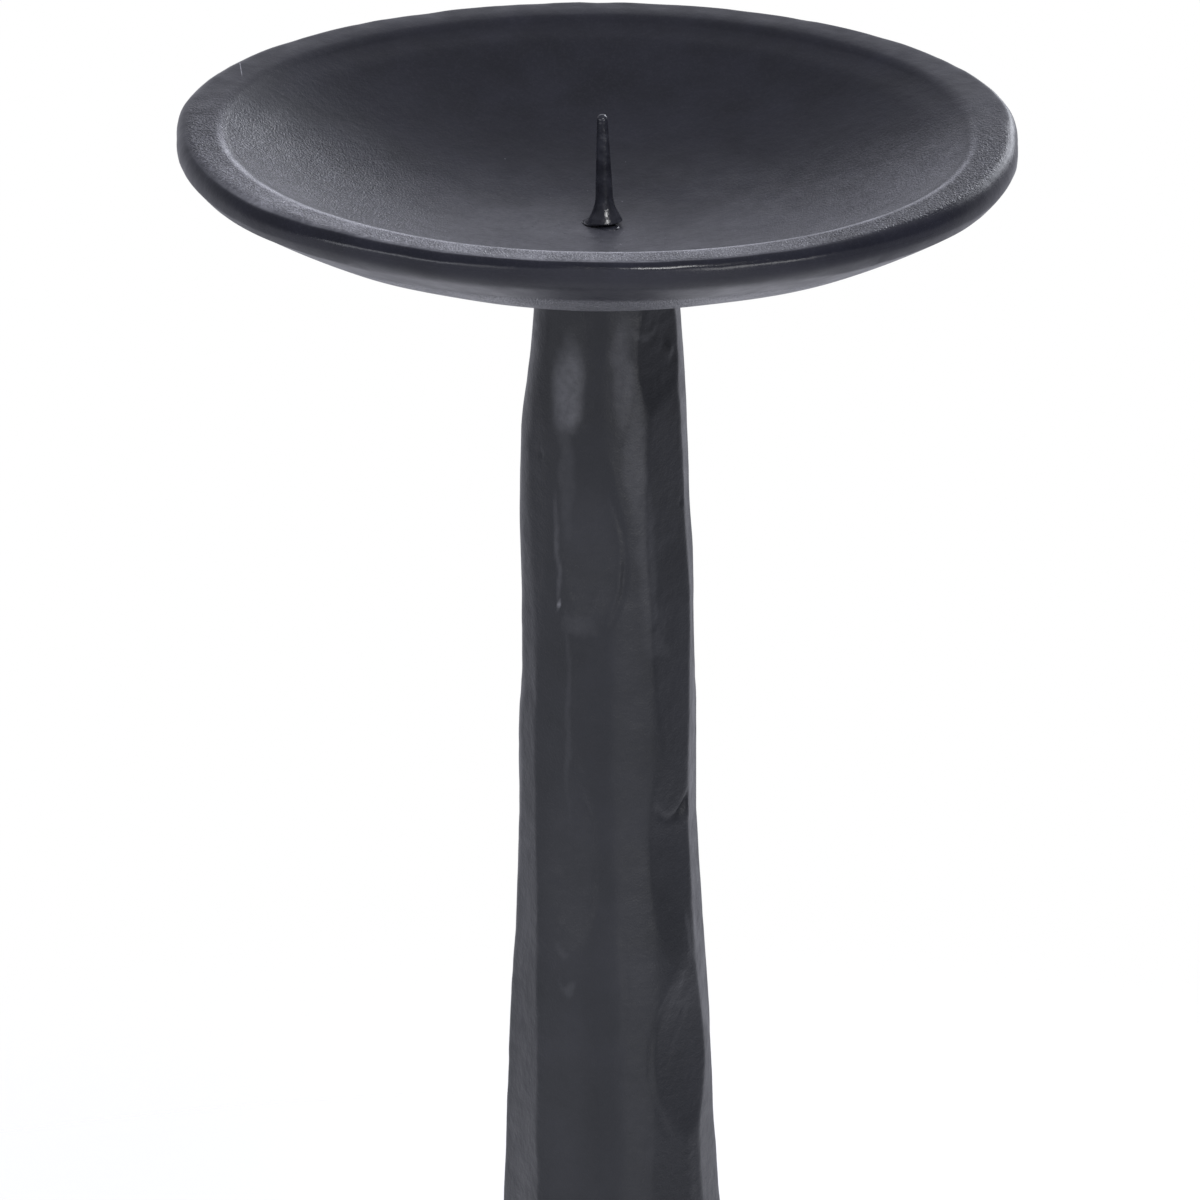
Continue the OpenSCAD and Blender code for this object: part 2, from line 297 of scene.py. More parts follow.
def blend_colour(tree, factor, first, second):
    node = tree.nodes.new("ShaderNodeMix")
    node.data_type = "RGBA"
    tree.links.new(factor, node.inputs["Factor"])
    for socket, colour in (("A", first), ("B", second)):
        target = [s for s in node.inputs if s.name == socket and s.type == "RGBA"][0]
        if isinstance(colour, tuple):
            target.default_value = (*colour, 1)
        else:
            tree.links.new(colour, target)
    return [s for s in node.outputs if s.type == "RGBA"][0]


def maths(tree, operation, first, second):
    node = tree.nodes.new("ShaderNodeMath")
    node.operation = operation
    for socket, value in zip(node.inputs, (first, second)):
        if isinstance(value, (int, float)):
            socket.default_value = value
        else:
            tree.links.new(value, socket)
    return node.outputs["Value"]


def mix_values(tree, factor, first, second):
    node = tree.nodes.new("ShaderNodeMix")
    for socket, value in zip(("Factor", "A", "B"), (factor, first, second)):
        if isinstance(value, (int, float)):
            node.inputs[socket].default_value = value
        else:
            tree.links.new(value, node.inputs[socket])
    return node.outputs["Result"]


def bump(tree, height, depth_mm, under=None):
    """A relief this many millimetres deep, over another one where that is given."""
    node = tree.nodes.new("ShaderNodeBump")
    node.inputs["Distance"].default_value = depth_mm * MM
    tree.links.new(height, node.inputs["Height"])
    if under:
        tree.links.new(under, node.inputs["Normal"])
    return node.outputs["Normal"]


BLACK_SHADES = ((0.008, 0.0085, 0.013), (0.012, 0.0125, 0.019))
STEM_SHADES = ((0.0085, 0.0095, 0.0122), (0.0125, 0.0135, 0.0172))
# Colour of the light specks in the grain, which are painted glints
GLINT_SPECK_COLOUR = (0.2, 0.203, 0.23)
# Colour of a rubbed coat, which also paints highlights and light on the coat
RUB_AND_PAINTED_LIGHT_COLOUR = (0.36, 0.362, 0.39)
SCRATCH_COLOUR = (0.3, 0.3, 0.32)
SCRATCH_W = 0.16
GRAIN_SIZE = 0.27
POLISHED_ROUGHNESS = 0.2


def powder_black(name, grain_depth, peel_depth, glint_share, mottle, shades, scratches=()):
    """Matte black powder coat: a fine grain over a soft orange peel, in two faint shades.

    The attribute that the piece carries says where its coat is rubbed light and where highlights
    and light are painted on it as a lighter coat, where it is polished, and where it is gritty,
    with painted glints. Of such a lightened place, mottle is the share that is lightened
    everywhere, and the rest comes in patches.
    """
    material, tree, shader = new_material(name)
    wear_and_light = tree.nodes.new("ShaderNodeAttribute")
    wear_and_light.attribute_name = "wear_and_light"
    channels = tree.nodes.new("ShaderNodeSeparateXYZ")
    tree.links.new(wear_and_light.outputs["Vector"], channels.inputs[0])
    rub_and_painted_light, polish, grit = channels.outputs
    patches = ramp(tree, noise_of(tree, 9, 3), 0.35, 0.7, 0, 1)
    shade = blend_colour(tree, patches, *shades)
    drawn = stretched(tree, (1, 0.5, 1))
    grains = tree.nodes.new("ShaderNodeTexVoronoi")
    grains.inputs["Scale"].default_value = 1 / (GRAIN_SIZE * MM)
    tree.links.new(drawn, grains.inputs["Vector"])
    grain_tone = tree.nodes.new("ShaderNodeSeparateXYZ")
    tree.links.new(grains.outputs["Color"], grain_tone.inputs[0])
    # Light specks where the coat is gritty: painted glints of its grain
    glint_specks = ramp(tree, grain_tone.outputs["X"], 0.55, 1.0, 0, glint_share)
    glint_specks = maths(tree, "MULTIPLY", glint_specks, grit)
    colour = blend_colour(tree, glint_specks, shade, GLINT_SPECK_COLOUR)
    # Lightens the coat where it is rubbed and where highlights and light are painted on it
    lightening_patches = ramp(tree, noise_of(tree, 1.1, 3), 0.3, 0.6, mottle, 1)
    lightened_share = maths(tree, "MULTIPLY", rub_and_painted_light, lightening_patches)
    colour = blend_colour(tree, lightened_share, colour, RUB_AND_PAINTED_LIGHT_COLOUR)
    for scratch in scratches:
        colour = blend_colour(tree, scratch_line(tree, *scratch), colour, SCRATCH_COLOUR)
    tree.links.new(colour, shader.inputs["Base Color"])
    roughness = ramp(tree, noise_of(tree, 4, 2), 0.3, 0.7, 0.38, 0.46)
    roughness = mix_values(tree, polish, roughness, POLISHED_ROUGHNESS)
    tree.links.new(roughness, shader.inputs["Roughness"])
    shader.inputs["Specular IOR Level"].default_value = 0.35
    peel = bump(tree, noise_of(tree, 1.6, 2), peel_depth)
    relief = maths(tree, "MULTIPLY", grain_tone.outputs["Y"], 0.25)
    relief = maths(tree, "ADD", noise_of(tree, 0.3, 1, vector=drawn), relief)
    grain = bump(tree, maths(tree, "MULTIPLY", relief, grit), grain_depth, peel)
    tree.links.new(grain, shader.inputs["Normal"])
    return material


def scratch_line(tree, across, along, angle, length):
    """A straight hair scratch, seen from above: its middle, direction and length."""
    mapping = tree.nodes.new("ShaderNodeMapping")
    mapping.vector_type = "TEXTURE"
    mapping.inputs["Location"].default_value = (across * MM, along * MM, 0)
    mapping.inputs["Rotation"].default_value = (0, 0, math.radians(angle))
    mapping.inputs["Scale"].default_value = (length / 2 * MM, SCRATCH_W / 2 * MM, 1)
    tree.links.new(place(tree), mapping.inputs["Vector"])
    size = tree.nodes.new("ShaderNodeVectorMath")
    size.operation = "ABSOLUTE"
    tree.links.new(mapping.outputs["Vector"], size.inputs[0])
    sides = tree.nodes.new("ShaderNodeSeparateXYZ")
    tree.links.new(size.outputs["Vector"], sides.inputs[0])
    far = maths(tree, "MAXIMUM", sides.outputs["X"], sides.outputs["Y"])
    line = ramp(tree, far, 0.5, 1, 0.8, 0)
    return maths(tree, "MULTIPLY", line, ramp(tree, noise_of(tree, 1.2), 0.35, 0.5, 0.3, 1))


def enamel_black():
    """Thick enamel on the spike: soft underneath, with a thin glossy skin."""
    material, tree, shader = new_material("spike_enamel")
    patches = ramp(tree, noise_of(tree, 2.5), 0.4, 0.7, 0, 1)
    colour = blend_colour(tree, patches, (0.012, 0.0125, 0.017), (0.028, 0.029, 0.037))
    tree.links.new(colour, shader.inputs["Base Color"])
    tree.links.new(ramp(tree, noise_of(tree, 1.5), 0.3, 0.7, 0.2, 0.3), shader.inputs["Roughness"])
    shader.inputs["Specular IOR Level"].default_value = 0.25
    shader.inputs["Coat Weight"].default_value = 0.4
    shader.inputs["Coat Roughness"].default_value = 0.1
    tree.links.new(bump(tree, noise_of(tree, 0.9, 1), 0.16), shader.inputs["Normal"])
    return material


def zinc_steel():
    material, tree, shader = new_material("zinc_plating")
    shader.inputs["Metallic"].default_value = 1
    spangle = ramp(tree, noise_of(tree, 1.8, 3), 0.3, 0.75, 0, 1)
    colour = blend_colour(tree, spangle, (0.5, 0.51, 0.53), (0.66, 0.67, 0.68))
    tree.links.new(colour, shader.inputs["Base Color"])
    roughness = ramp(tree, noise_of(tree, 3, 2), 0.3, 0.7, 0.26, 0.42)
    tree.links.new(roughness, shader.inputs["Roughness"])
    tree.links.new(bump(tree, noise_of(tree, 0.25, 1), 0.01), shader.inputs["Normal"])
    return material


def pressed_felt():
    material, tree, shader = new_material("pressed_felt")
    fibres = noise_of(tree, 0.25, 4, 0.7)
    share = ramp(tree, fibres, 0.35, 0.7, 0, 1)
    colour = blend_colour(tree, share, (0.018, 0.018, 0.019), (0.05, 0.05, 0.052))
    tree.links.new(colour, shader.inputs["Base Color"])
    shader.inputs["Roughness"].default_value = 0.95
    shader.inputs["Sheen Weight"].default_value = 0.3
    tree.links.new(bump(tree, fibres, 0.12), shader.inputs["Normal"])
    return material


# Scratches on the pan: across and along its top from the middle, direction, length
SCRATCHES = [(-54.6, 28.5, 95, 9.0), (-48.4, -31.0, 62, 4.5), (-45.0, -34.5, 50, 3.0)]
COATING = powder_black("powder_coat", 0.4, 0.04, 0.5, 0.6, BLACK_SHADES, SCRATCHES)
STEM_COATING = powder_black("stem_coat", 0.04, 0.1, 0.0, 0.7, STEM_SHADES)
ENAMEL = enamel_black()
ZINC = zinc_steel()
FELT = pressed_felt()


# Pan

# Grit under the coat round the spike: middle and spread across and along, and how many
GRIT_PATCHES = [
    (-5.5, -6.0, 3.5, 3.5, 34), (7.0, -7.5, 3.0, 2.5, 26), (0.0, -11.0, 9.0, 1.8, 26),
    (-4.0, 10.0, 9.0, 9.0, 10),
]
GRAIN_RADII = (0.05, 0.13)
GRAIN_RUB = 0.45
# How much light is painted, as a lighter coat, on the dish and on the front of the land
DISH_PAINTED_LIGHT = 0.21
LAND_PAINTED_LIGHT = 0.42
LEAST_GRIT = 0.03
# Places round the pan from the front towards +X: the middle of the painted light on the front of
# the land, and between which the painted highlight on its crest fades in and out
FRONT_TURN = -0.06
CREST_FADES_IN = (-0.29, -0.2)
CREST_FADES_OUT = (0.11, 0.28)
CREST_W = 0.55


def lip_outline():
    """The outer wall from its lower edge up and the rounded rim, ending on the land."""
    drop = WALL_H - EDGE_ROUND
    shares = [i / 6 for i in range(6)]
    foot_z = PAN_RIM_Z - WALL_H
    wall = [(PAN_R - WALL_LEAN * (1 - t) ** WALL_CURVE, foot_z + drop * t) for t in shares]
    return wall + arc((LAND_OUTER_R, PAN_RIM_Z - EDGE_ROUND), EDGE_ROUND, 0, 90, 8)


def pan_outline(dish_centre_z, dish_radius):
    under_radius = cap_sphere_r(PAN_R - WALL_LEAN, PAN_DEPTH - WALL_H)
    under_centre_z = PAN_RIM_Z - PAN_DEPTH + under_radius
    lift = dish_centre_z - PAN_RIM_Z + SHOULDER_ROUND
    shoulder_r = math.sqrt((dish_radius + SHOULDER_ROUND) ** 2 - lift**2)
    slope = math.degrees(math.asin(shoulder_r / (dish_radius + SHOULDER_ROUND)))
    touch_r = shoulder_r * dish_radius / (dish_radius + SHOULDER_ROUND)
    outline = bowl_arc(under_centre_z, under_radius, SEAT_R, PAN_R - WALL_LEAN, 44)[:-1]
    outline += lip_outline()
    outline += segment((LAND_OUTER_R - 0.3, PAN_RIM_Z), (shoulder_r, PAN_RIM_Z), 12)
    outline += arc((shoulder_r, PAN_RIM_Z - SHOULDER_ROUND), SHOULDER_ROUND, 90, 90 + slope, 10)
    outline += bowl_arc(dish_centre_z, dish_radius, touch_r, SHANK_HOLE_R + 0.4, 56)[1:]
    outline += [(SHANK_HOLE_R + 0.2, DISH_Z), (SHANK_HOLE_R, DISH_Z), (SHANK_HOLE_R, PAN_SEAT_Z)]
    return outline + segment((6, PAN_SEAT_Z), (SEAT_R, PAN_SEAT_Z), 3)


def cast_lip(co, radius, turn, top_skin):
    """Slopes the land, and makes the lip lumpy and out of round as cast."""
    lip = smoothstep(LAND_INNER_R, PAN_R - 2, radius)
    inward = LAND_OUTER_R - np.clip(radius, LAND_INNER_R - 4, LAND_OUTER_R)
    co[:, 2] += inward * math.tan(LAND_SLOPE) * top_skin
    co[:, 2] -= lip * top_skin * np.abs(0.07 * lumps(co, 14, 1) + 0.04 * lumps(co, 5, 2))
    edge = smoothstep(PAN_R - 3, PAN_R, radius)
    edge *= smoothstep(PAN_RIM_Z - 6, PAN_RIM_Z - 2, co[:, 2])
    co[:, 2] -= edge * np.clip(0.16 * lumps(co, 4.5, 7) + 0.03 * lumps(co, 1.6, 8), 0, None)
    swell = np.interp(turn, *zip(*OUT_OF_ROUND)) * smoothstep(20, PAN_R, radius)
    swell -= lip * np.abs(0.10 * lumps(co, 16, 3) + 0.05 * lumps(co, 4, 4))
    co[:, :2] *= (1 + swell / radius)[:, None]
    co[:, 0] = np.clip(co[:, 0], -PAN_R, PAN_R)


def settle_dish(co, radius):
    """Lowers the middle of the dish a little and gives its floor soft waves."""
    settled = 1 - smoothstep(10, 32, radius)
    co[:, 2] -= DISH_SETTLE * settled * (co[:, 2] > DISH_Z - 1)
    inner = smoothstep(SEAT_R, 30, radius) * (1 - smoothstep(50, 56, radius))
    waves = 0.14 * lumps(co, 22, 5) + 0.05 * lumps(co, 8, 6)
    co[:, 2] += inner * waves * (co[:, 2] > DISH_Z - 2)


def paint_pan_wear_and_light(pan, co, radius, turn, top_skin):
    """Marks the painted highlight along the inner edge of the land, the painted light on the front
    of the land and on the dish, the polished rim, and the grit with its painted glints.
    """
    across, along, height = co.T
    front = 1 - smoothstep(0.05, 0.2, np.abs(turn - FRONT_TURN))
    # Painted highlight along the inner edge of the land, as a lighter coat, only round the front
    crest = np.exp(-(((radius - LAND_INNER_R - 0.1 - 0.3 * front) / CREST_W) ** 2)) * top_skin
    sides = smoothstep(*CREST_FADES_IN, turn) * (1 - smoothstep(*CREST_FADES_OUT, turn))
    patchy = 0.3 * lumps(co, 7, 9) + 0.28 * lumps(co, 2.4, 23)
    rub_and_painted_light = crest * sides * (0.68 + 0.32 * front + patchy)
    # Painted light on the front of the land, with lighter spots, as a lighter coat
    land = smoothstep(LAND_INNER_R - 1, LAND_INNER_R, radius) * top_skin
    land *= 1 - smoothstep(LAND_OUTER_R - 0.4, LAND_OUTER_R + 0.1, radius)
    rub_and_painted_light += LAND_PAINTED_LIGHT * land * front * (0.8 + 0.4 * lumps(co, 5, 10))
    rub_and_painted_light += 0.4 * land * front * smoothstep(0.55, 0.9, lumps(co, 1.7, 12))
    # Painted light on the front half of the dish and to the left of its middle, as a lighter coat
    dish = (1 - smoothstep(54, 57, radius)) * (height > DISH_Z - 0.5)
    painted_dish_light = dish * (1 - smoothstep(-22, 13, along)) * (0.8 + 0.2 * lumps(co, 12, 11))
    painted_dish_light += 0.35 * dish * np.exp(-(((across + 9) / 14) ** 2) - ((along + 1) / 11) ** 2)
    rounding = smoothstep(LAND_OUTER_R - 1.2, LAND_OUTER_R - 0.2, radius)
    rounding *= smoothstep(PAN_RIM_Z - 2.2, PAN_RIM_Z - 1.4, height)
    inside = np.maximum(dish, smoothstep(PAN_RIM_Z - 1.2, PAN_RIM_Z - 0.4, height))
    # The grit, and with it the painted glints, is strongest at the front and to the left
    grit = inside * (0.1 + 0.9 * smoothstep(15, 52, np.hypot(across, 1.3 * along + 8)))
    grit *= 1 - 0.99 * smoothstep(-14, 22, along)
    grit *= 1 - 0.45 * smoothstep(-25, 25, across)
    polish = rounding * (1 - 0.85 * smoothstep(0.13, 0.19, np.abs(turn)))
    polish = np.maximum(polish, 0.6 * crest * (0.3 + 0.7 * sides))
    paint_wear_and_light(pan, rub_and_painted_light + DISH_PAINTED_LIGHT * painted_dish_light, polish, LEAST_GRIT + grit * (1 - rounding))


def rounding_drop(radius, edge_r):
    """How far an edge of radius edge_r lies under the land at this radius of the pan."""
    past = np.clip(radius - PAN_R + edge_r, 0, edge_r)
    return edge_r - np.sqrt(edge_r**2 - past**2)


def round_edge(co, radius, turn):
    """Gives the rim's outer edge the rounding that it has at each place round the pan."""
    edge_r = np.interp(turn, *zip(*EDGE_ROUNDS))
    up_wall = 1 - np.clip((PAN_RIM_Z - EDGE_ROUND - co[:, 2]) / (WALL_H - EDGE_ROUND), 0, 1)
    on_edge = (radius > LAND_INNER_R) & (co[:, 2] > PAN_RIM_Z - WALL_H)
    on_wall = co[:, 2] < PAN_RIM_Z - EDGE_ROUND - 0.01
    deeper = rounding_drop(radius, edge_r) - rounding_drop(radius, EDGE_ROUND)
    sink = np.where(on_wall, (edge_r - EDGE_ROUND) * up_wall, deeper)
    co[:, 2] -= np.where(on_edge, sink, 0)


def bend_pan(co, radius, turn, top_skin):
    """Sags the underside at the front quarters, droops the back shoulder and tilts the rim."""
    swing = np.abs(turn)
    sag = smoothstep(0.06, 0.12, swing) * (1 - smoothstep(0.15, 0.22, swing))
    below = co[:, 2] < PAN_RIM_Z - WALL_H + 0.5
    co[:, 2] -= UNDERSIDE_SAG * sag * smoothstep(28, 50, radius) * below
    droop = SHOULDER_DROOP * smoothstep(0.26, 0.4, swing)
    co[:, 2] -= droop * np.clip((PAN_R - 3.2 - radius) / 3.6, 0, 1.2) ** 2 * top_skin
    co[:, 2] -= (co[:, 0] + PAN_R) * math.tan(RIM_TILT) * smoothstep(14, 32, radius)


def scatter_grit(pan, dish_centre_z, dish_radius):
    """Sinks small grains half into the dish, and marks them as rubbed light."""
    chance = np.random.default_rng(5)
    bm = bmesh.new()
    bm.from_mesh(pan.data)
    wear_and_light = bm.verts.layers.float_vector["wear_and_light"]
    for across, along, spread_x, spread_y, count in GRIT_PATCHES:
        for _ in range(count):
            x, y = chance.normal((across, along), (spread_x, spread_y))
            size = chance.uniform(*GRAIN_RADII)
            z = dish_centre_z - math.sqrt(dish_radius**2 - x**2 - y**2) - DISH_SETTLE
            middle = Matrix.Translation(Vector((x, y, z)) * MM)
            grain = bmesh.ops.create_icosphere(
                bm, subdivisions=1, radius=size * MM, matrix=middle
            )
            for vert in grain["verts"]:
                vert[wear_and_light] = (GRAIN_RUB, 0, 0)
    bm.to_mesh(pan.data)
    bm.free()


def build_pan():
    dish_radius = cap_sphere_r(LAND_INNER_R, DISH_DEPTH)
    dish_centre_z = PAN_RIM_Z - DISH_DEPTH + dish_radius
    pan = turned("pan_casting", pan_outline(dish_centre_z, dish_radius), FINE_SIDES)
    co = coords(pan)
    radius = np.hypot(co[:, 0], co[:, 1])
    turn = np.arctan2(co[:, 0], -co[:, 1]) / TAU
    top_skin = smoothstep(PAN_RIM_Z - 3, PAN_RIM_Z, co[:, 2])
    cast_lip(co, radius, turn, top_skin)
    settle_dish(co, radius)
    paint_pan_wear_and_light(pan, co, radius, turn, top_skin)
    round_edge(co, radius, turn)
    bend_pan(co, radius, turn, top_skin)
    set_coords(pan, co)
    scatter_grit(pan, dish_centre_z, dish_radius)
    dress(pan, COATING, "iron_black", "pan")


# Spike

FLANGE_R = 2.7
FLANGE_T = 0.6
FLARE_ROUND = 7.5
WAIST_R = 1.3
TIP_R = 0.8
SHANK_R = 2.0
SHANK_BEVEL = 0.5
# The spike as fitted: off the middle and forward at its foot, leaning, and raised at the flange's
# front right
SPIKE_SHIFT = 1.2
FOOT_FORWARD = 1.0
SPIKE_LEAN = math.radians(1.4)
FLANGE_LIFT = 0.55
POOL_PLACE = (1.9, -2.6)


def spike_outline(dish_z):
    flare_x = WAIST_R + FLARE_ROUND
    flare_h = FLANGE_T + math.sqrt(FLARE_ROUND**2 - (flare_x - FLANGE_R) ** 2)
    start = math.degrees(math.atan2(FLANGE_T - flare_h, FLANGE_R - flare_x))
    tip_z = SPIKE_TIP_Z - TIP_R - 0.35
    outline = [(0, SPIKE_FOOT_Z), (SHANK_R - SHANK_BEVEL, SPIKE_FOOT_Z)]
    outline += [(SHANK_R, SPIKE_FOOT_Z + SHANK_BEVEL)]
    outline += segment((SHANK_R, SPIKE_FOOT_Z + 2 * SHANK_BEVEL), (SHANK_R, dish_z), 4)
    outline += [(SHANK_R, dish_z + 0.05), (FLANGE_R - 0.3, dish_z + 0.05)]
    outline += arc((FLANGE_R - 0.2, dish_z + 0.3), 0.2, -60, 60, 4)
    flare = arc((flare_x, dish_z + flare_h), FLARE_ROUND, start + 360, 180, 14)
    outline += [point for point in flare if point[1] > dish_z + FLANGE_T]
    outline += segment((WAIST_R, dish_z + flare_h + 0.6), (TIP_R, tip_z), 12)
    return outline + arc((0, tip_z), TIP_R, 0, 90, 8)


def enamel_pool(dish_z):
    """The enamel that ran off the flange and set on the dish."""
    outline = [(0, dish_z - 0.2), (1.5, dish_z - 0.2), (1.75, dish_z + 0.05)]
    outline += [(1.6, dish_z + 0.2), (1.1, dish_z + 0.3), (0, dish_z + 0.32)]
    pool = turned("enamel_pool", outline, 64, closed=False)
    co = coords(pool)
    co[:, :2] *= (1 + 0.16 * lumps(co, 1.6, 31) + 0.07 * lumps(co, 0.7, 32))[:, None]
    co[:, 2] += 0.12 * np.clip(lumps(co, 0.9, 33), 0, None) * (co[:, 2] > dish_z)
    co[:, :2] += POOL_PLACE
    set_coords(pool, co)
    return pool


def build_spike():
    dish_z = DISH_Z - DISH_SETTLE
    spike = turned("spike_pricket", spike_outline(dish_z), 64, closed=False)
    co = coords(spike)
    above = np.clip(co[:, 2] - dish_z, 0, None)
    clear_of_hole = np.clip(above / 0.3, 0, 1)
    co[:, 0] += SPIKE_SHIFT * clear_of_hole - above * math.tan(SPIKE_LEAN)
    co[:, 1] -= FOOT_FORWARD * clear_of_hole * (1 - np.clip(above / 16, 0, 1))
    front_right = np.clip((0.7 * co[:, 0] - 0.7 * co[:, 1]) / FLANGE_R, 0, 1)
    co[:, 2] += FLANGE_LIFT * front_right * clear_of_hole * (1 - np.clip(above / 6, 0, 1))
    set_coords(spike, co)
    join_mesh(spike, enamel_pool(dish_z))
    dress(spike, ENAMEL, "spike_black", "spike")


# Stem: a blank with long flats and hammer marks, each flat across the stem and crowned along it

STEM_TOP_R = 11.2
# What the cut and the length of the marks are shares of, and how soft their arrises are
HAMMER_CUT = 1.2
MARK_LENGTH = 34.0
ARRIS_SOFTNESS = 0.08
# How far the blank has widened, by depth under the pan
PROFILE_SHARES = [
    (0, 0), (0.053, 0.08), (0.124, 0.155), (0.27, 0.225), (0.34, 0.225),
    (0.44, 0.35), (0.53, 0.435), (1, 1),
]
# Place round the stem from the front towards +X, depth under the pan, cut and length, as shares
# of a turn, of the stem's length, and of HAMMER_CUT and MARK_LENGTH
LONG_FLATS = [
    (-0.180, 0.27, 0.20, 2.2), (-0.180, 0.80, 1.50, 8.1), (-0.106, 0.41, 0.52, 8.8),
    (0.044, 0.49, 0.28, 10.0), (0.222, 0.34, 0.58, 6.0), (0.150, 0.85, 0.70, 6.0),
    (0.305, 0.50, 0.60, 10.0), (0.392, 0.50, 0.70, 10.0), (0.490, 0.50, 0.65, 10.0),
    (-0.405, 0.50, 0.70, 10.0), (-0.300, 0.50, 0.65, 10.0),
]
FRONT_MARKS = [
    (-0.036, 0.148, 0.96, 0.91), (-0.139, 0.143, 0.38, 1.47), (-0.033, 0.248, 0.21, 1.47),
    (-0.001, 0.508, 0.27, 2.65), (-0.084, 0.341, 0.98, 1.24), (-0.072, 0.526, 0.92, 2.20),
    (-0.078, 0.046, 0.30, 0.50), (-0.022, 0.034, 0.12, 0.70), (0.031, 0.049, 0.30, 0.70),
    (0.144, 0.173, 0.96, 2.10), (0.133, 0.049, 0.83, 0.56), (0.122, 0.350, 0.62, 0.94),
    (0.135, 0.479, 1.13, 0.85), (0.206, 0.556, 0.75, 1.40), (0.100, 0.564, 0.50, 1.30),
]
MARK_ROWS = 7
MARK_COLUMNS = 7
# How far the stem's axis strays towards +X, by depth
LEAN = [(0, 1.3), (0.1, 1.15), (0.2, 1.9), (0.3, 1.75), (0.4, 1.85), (0.6, 2.2), (0.8, 1.4), (1, 0)]
# How much thinner the neck under the pan is, on average and from side to side, and where it ends
NECK_CUT = 0.48
NECK_SWAY = 0.27
NECK_SHARES = (0.042, 0.098)
# Painted highlights where the facets catch the light, drawn as a lighter coat: place, half width
# and half length in millimetres, and how much
PAINTED_HIGHLIGHTS = [
    (-0.083, 0.066, 2.9, 8.0, 0.24), (-0.080, 0.115, 1.3, 11.0, 0.05),
    (0.038, 0.052, 1.8, 9.0, 0.11), (0.062, 0.105, 2.0, 11.0, 0.08),
    (0.076, 0.165, 1.8, 15.0, 0.045), (-0.104, 0.165, 0.5, 9.5, 0.09),
    (-0.100, 0.196, 0.5, 0.9, 0.40), (-0.055, 0.211, 3.2, 1.8, 0.05),
    (-0.080, 0.262, 0.5, 19.0, 0.035), (-0.040, 0.165, 5.4, 13.5, 0.018),
    (-0.078, 0.362, 5.2, 16.0, 0.018), (-0.085, 0.500, 4.6, 20.0, 0.014),
    (0.195, 0.312, 0.9, 6.0, 0.06), (0.160, 0.405, 0.6, 3.5, 0.05),
    (0.095, 0.222, 2.8, 1.2, 0.03), (0.090, 0.034, 3.0, 1.0, 0.09),
    (-0.200, 0.036, 2.0, 0.8, 0.08), (-0.210, 0.370, 3.2, 24.0, 0.03),
    (0.036, 0.420, 3.0, 60.0, 0.012), (-0.075, 0.425, 1.6, 1.2, 0.05),
    (-0.086, 0.405, 1.4, 1.0, 0.05),
]
# Bumps and pits: place, radius and height in millimetres
DENTS = [
    (0.127, 0.040, 1.2, 0.35), (0.165, 0.047, 1.0, 0.4), (0.186, 0.141, 0.4, -0.25),
    (-0.144, 0.107, 0.45, -0.25), (-0.151, 0.006, 0.6, -0.2), (-0.103, 0.362, 0.9, 0.15),
    (-0.091, 0.392, 0.7, 0.2), (-0.100, 0.400, 1.1, -0.2), (0.170, 0.330, 1.2, 0.2),
    (-0.25, 0.41, 12.0, -0.36), (-0.25, 0.25, 6.0, -0.33), (-0.25, 0.155, 7.0, 0.2),
    (-0.25, 0.57, 12.0, -0.3), (0.25, 0.145, 8.0, -0.33), (0.25, 0.492, 9.0, 0.4),
]
# Spots where the casting is crumbly: place, half width, half length and depth in millimetres
CRUMBLY_SPOTS = [
    (-0.043, 0.193, 2.6, 1.9, 0.30), (-0.032, 0.240, 2.2, 11.0, 0.10),
    (0.133, 0.045, 3.0, 7.0, 0.15), (-0.006, 0.457, 1.8, 2.2, 0.22),
    (0.140, 0.442, 3.0, 9.0, 0.10), (-0.020, 0.020, 2.0, 4.0, 0.10),
]
# Creases that the hammer's edge left: part of an ellipse, by place, half width and half length
# in millimetres, the turn round it from its right side downwards, its spread, and depth
CREASES = [
    (-0.032, 0.162, 5.2, 13.3, 0.00, 0.19, 0.36), (-0.089, 0.355, 5.6, 14.0, -0.02, 0.17, 0.26),
    (0.130, 0.296, 4.6, 8.5, 0.25, 0.17, 0.45), (0.129, 0.482, 6.2, 13.0, 0.50, 0.20, 0.20),
    (-0.020, 0.430, 4.5, 16.0, 0.02, 0.15, 0.10), (0.100, 0.560, 5.0, 14.0, 0.45, 0.20, 0.08),
]
CREASE_WIDTH = 0.48
# The stem's hollow: bores for the plug and the rod above the sealed core
PLUG_BORE_R = 7.1
ROD_BORE_R = 3.2
WEB_Z = STEM_FOOT_Z + STEM_LENGTH - 24
WEB_T = 6
CORE_TOP_R = 7.8
STEM_WALL = 5


def blow(row, column):
    """One mark of the staggered rows, a little off its place."""
    drift = math.radians(137 * column + 61 * row)
    return (
        (column + (row % 2) / 2) / MARK_COLUMNS - 0.5 + 0.015 * math.sin(drift),
        (row + 0.5) / MARK_ROWS + 0.012 * math.cos(2 * drift),
        0.85 + 0.15 * math.sin(3 * drift),
        0.9 + 0.1 * math.cos(3 * drift),
    )


def hammer_marks():
    rows = [blow(row, column) for row in range(MARK_ROWS) for column in range(MARK_COLUMNS)]
    return LONG_FLATS + FRONT_MARKS + [m for m in rows if not (-0.26 < m[0] < 0.25 and m[1] < 0.6)]


